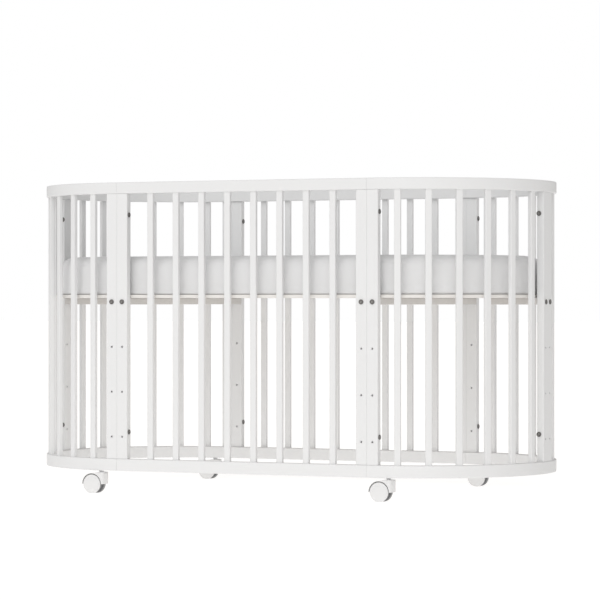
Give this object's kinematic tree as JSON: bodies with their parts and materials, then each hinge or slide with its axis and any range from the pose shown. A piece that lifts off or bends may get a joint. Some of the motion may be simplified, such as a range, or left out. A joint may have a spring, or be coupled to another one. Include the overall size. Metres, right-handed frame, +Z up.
{
  "type": "baby crib",
  "caption": "Oval slatted wooden crib of bolted straight and curved panels, with a mattress on a height-adjustable base and swivelling twin-wheel casters.",
  "frame": {"origin": "on the floor under the middle of the oval, at the bottom centre of the whole part's box", "axes": "+X along the crib's length to its right end, +Y to its back side, +Z up"},
  "size_m": [1.5054, 0.7554, 0.8606],
  "materials": {
    "painted_wood": "satin",
    "base_board": "satin",
    "mattress_cover": "matte",
    "bolt_steel": "satin",
    "caster_plastic": "gloss",
    "caster_wheel": "satin",
    "caster_steel": "satin"
  },
  "bodies": {
    "frame": {"front_left_post_stile_a": "painted_wood", "front_left_post_bolt_a": "bolt_steel", "front_left_post_stile_b": "painted_wood", "front_left_post_bolt_b": "bolt_steel", "front_right_post_stile_a": "painted_wood", "front_right_post_bolt_a": "bolt_steel", "front_right_post_stile_b": "painted_wood", "front_right_post_bolt_b": "bolt_steel", "right_post_stile_a": "painted_wood", "right_post_bolt_a": "bolt_steel", "right_post_stile_b": "painted_wood", "right_post_bolt_b": "bolt_steel", "back_right_post_stile_a": "painted_wood", "back_right_post_bolt_a": "bolt_steel", "back_right_post_stile_b": "painted_wood", "back_right_post_bolt_b": "bolt_steel", "back_left_post_stile_a": "painted_wood", "back_left_post_bolt_a": "bolt_steel", "back_left_post_stile_b": "painted_wood", "back_left_post_bolt_b": "bolt_steel", "left_post_stile_a": "painted_wood", "left_post_bolt_a": "bolt_steel", "left_post_stile_b": "painted_wood", "left_post_bolt_b": "bolt_steel", "front_upper_rail": "painted_wood", "front_lower_rail_with_slats": "painted_wood", "back_upper_rail": "painted_wood", "back_lower_rail_with_slats": "painted_wood", "front_right_upper_rail": "painted_wood", "front_right_lower_rail_with_slats": "painted_wood", "back_right_upper_rail": "painted_wood", "back_right_lower_rail_with_slats": "painted_wood", "back_left_upper_rail": "painted_wood", "back_left_lower_rail_with_slats": "painted_wood", "front_left_upper_rail": "painted_wood", "front_left_lower_rail_with_slats": "painted_wood", "front_right_caster_stem": "caster_steel", "back_right_caster_stem": "caster_steel", "back_left_caster_stem": "caster_steel", "front_left_caster_stem": "caster_steel"},
    "mattress_base": {"left_cross_beam": "painted_wood", "left_end_batten": "painted_wood", "left_base_board": "base_board", "right_cross_beam": "painted_wood", "right_end_batten": "painted_wood", "right_base_board": "base_board", "middle_base_board": "base_board", "mattress": "mattress_cover"},
    "front_right_caster": {"front_right_caster_hood_and_axle": "caster_plastic"},
    "front_right_caster_front_wheel": {"front_right_caster_front_wheel": "caster_wheel"},
    "front_right_caster_back_wheel": {"front_right_caster_back_wheel": "caster_wheel"},
    "back_right_caster": {"back_right_caster_hood_and_axle": "caster_plastic"},
    "back_right_caster_front_wheel": {"back_right_caster_front_wheel": "caster_wheel"},
    "back_right_caster_back_wheel": {"back_right_caster_back_wheel": "caster_wheel"},
    "back_left_caster": {"back_left_caster_hood_and_axle": "caster_plastic"},
    "back_left_caster_front_wheel": {"back_left_caster_front_wheel": "caster_wheel"},
    "back_left_caster_back_wheel": {"back_left_caster_back_wheel": "caster_wheel"},
    "front_left_caster": {"front_left_caster_hood_and_axle": "caster_plastic"},
    "front_left_caster_front_wheel": {"front_left_caster_front_wheel": "caster_wheel"},
    "front_left_caster_back_wheel": {"front_left_caster_back_wheel": "caster_wheel"}
  },
  "joints": [
    {"name": "mattress_base_height", "type": "slide", "parent": "frame", "child": "mattress_base", "axis": [0, 0, 1], "range_m": [-0.372, 0]},
    {"name": "front_right_caster_swivel", "type": "hinge", "parent": "frame", "child": "front_right_caster", "pos_m": [0.43179, -0.35853, 0.06], "axis": [0, 0, 1], "continuous": true},
    {"name": "front_right_caster_front_wheel_roll", "type": "hinge", "parent": "front_right_caster", "child": "front_right_caster_front_wheel", "pos_m": [0.41029, -0.35853, 0.02637], "axis": [0, 1, 0], "continuous": true},
    {"name": "front_right_caster_back_wheel_roll", "type": "hinge", "parent": "front_right_caster", "child": "front_right_caster_back_wheel", "pos_m": [0.41029, -0.35853, 0.02637], "axis": [0, 1, 0], "continuous": true},
    {"name": "back_right_caster_swivel", "type": "hinge", "parent": "frame", "child": "back_right_caster", "pos_m": [0.43179, 0.35853, 0.06], "axis": [0, 0, 1], "continuous": true},
    {"name": "back_right_caster_front_wheel_roll", "type": "hinge", "parent": "back_right_caster", "child": "back_right_caster_front_wheel", "pos_m": [0.41029, 0.35853, 0.02637], "axis": [0, 1, 0], "continuous": true},
    {"name": "back_right_caster_back_wheel_roll", "type": "hinge", "parent": "back_right_caster", "child": "back_right_caster_back_wheel", "pos_m": [0.41029, 0.35853, 0.02637], "axis": [0, 1, 0], "continuous": true},
    {"name": "back_left_caster_swivel", "type": "hinge", "parent": "frame", "child": "back_left_caster", "pos_m": [-0.43179, 0.35853, 0.06], "axis": [0, 0, 1], "continuous": true},
    {"name": "back_left_caster_front_wheel_roll", "type": "hinge", "parent": "back_left_caster", "child": "back_left_caster_front_wheel", "pos_m": [-0.45329, 0.35853, 0.02637], "axis": [0, 1, 0], "continuous": true},
    {"name": "back_left_caster_back_wheel_roll", "type": "hinge", "parent": "back_left_caster", "child": "back_left_caster_back_wheel", "pos_m": [-0.45329, 0.35853, 0.02637], "axis": [0, 1, 0], "continuous": true},
    {"name": "front_left_caster_swivel", "type": "hinge", "parent": "frame", "child": "front_left_caster", "pos_m": [-0.43179, -0.35853, 0.06], "axis": [0, 0, 1], "continuous": true},
    {"name": "front_left_caster_front_wheel_roll", "type": "hinge", "parent": "front_left_caster", "child": "front_left_caster_front_wheel", "pos_m": [-0.45329, -0.35853, 0.02637], "axis": [0, 1, 0], "continuous": true},
    {"name": "front_left_caster_back_wheel_roll", "type": "hinge", "parent": "front_left_caster", "child": "front_left_caster_back_wheel", "pos_m": [-0.45329, -0.35853, 0.02637], "axis": [0, 1, 0], "continuous": true}
  ]
}
